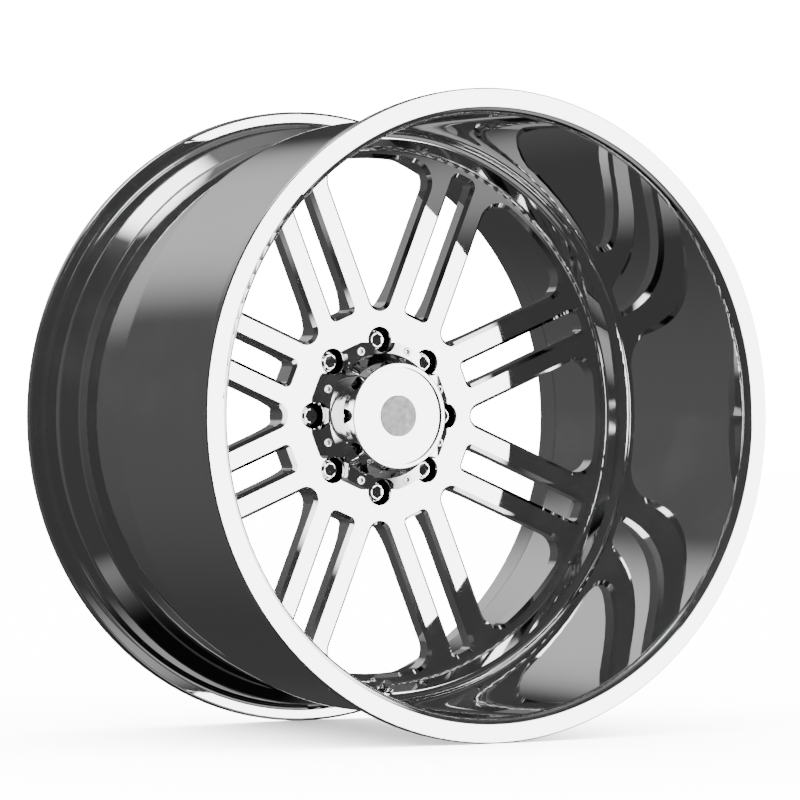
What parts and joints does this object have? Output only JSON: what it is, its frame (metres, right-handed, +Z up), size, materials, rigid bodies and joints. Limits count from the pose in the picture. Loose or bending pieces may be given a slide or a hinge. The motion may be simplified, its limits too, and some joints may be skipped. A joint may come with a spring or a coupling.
{
  "type": "forged wheel rim",
  "caption": "deep-lip forged truck wheel rim with twin-leg spokes, chrome lug nuts, bolted hub cap and tyre valve",
  "frame": {"origin": "centre of the hub mounting pad, in the plane that rests on the axle hub", "axes": "+Y along the wheel axis towards the vehicle, -Y towards the front lip, +Z up, valve at -Z"},
  "size_m": [0.7, 0.4307, 0.7],
  "materials": {
    "polished_alloy": "mirror polished",
    "chrome_steel": "polished",
    "steel_screw": "satin",
    "seal_rubber": "matt",
    "valve_brass": "satin",
    "core_seal_plastic": "matt",
    "badge_metal": "satin"
  },
  "bodies": {
    "wheel": {"rim_barrel": "polished_alloy", "forged_centre": "polished_alloy", "lug_nuts": "chrome_steel", "cap_bell": "polished_alloy", "cap_base_seal": "seal_rubber", "cap_screws": "steel_screw", "cap_lid": "polished_alloy", "cap_lid_seal": "seal_rubber", "cap_lid_screws": "steel_screw", "cap_badge": "badge_metal", "valve_stem": "chrome_steel", "valve_grommet": "seal_rubber", "valve_washer": "chrome_steel", "valve_nut": "chrome_steel", "valve_core_plug": "valve_brass", "valve_core_seal": "core_seal_plastic", "valve_core_spring": "steel_screw"},
    "core_pin": {"valve_core_pin": "valve_brass", "valve_core_washer": "seal_rubber"},
    "cap_seal": {"valve_cap_seal": "seal_rubber"},
    "dust_cap": {"valve_cap": "chrome_steel"}
  },
  "joints": [
    {"name": "core_pin_press", "type": "slide", "parent": "wheel", "child": "core_pin", "axis": [0, 0.7071, -0.7071], "range_m": [0, 0.0015], "stiffness_N_per_m": 400},
    {"name": "dust_cap_lift", "type": "slide", "parent": "wheel", "child": "cap_seal", "axis": [0, -0.7071, 0.7071], "range_m": [0, 0.0046]},
    {"name": "dust_cap_turn", "type": "hinge", "parent": "cap_seal", "child": "dust_cap", "pos_m": [0, -0.08253, -0.29947], "axis": [0, -0.7071, 0.7071], "range_deg": [0, 2085.64]}
  ],
  "couplings": [
    {"joint": "dust_cap_turn", "follows": "dust_cap_lift", "rad_per_m": 7913.3}
  ]
}
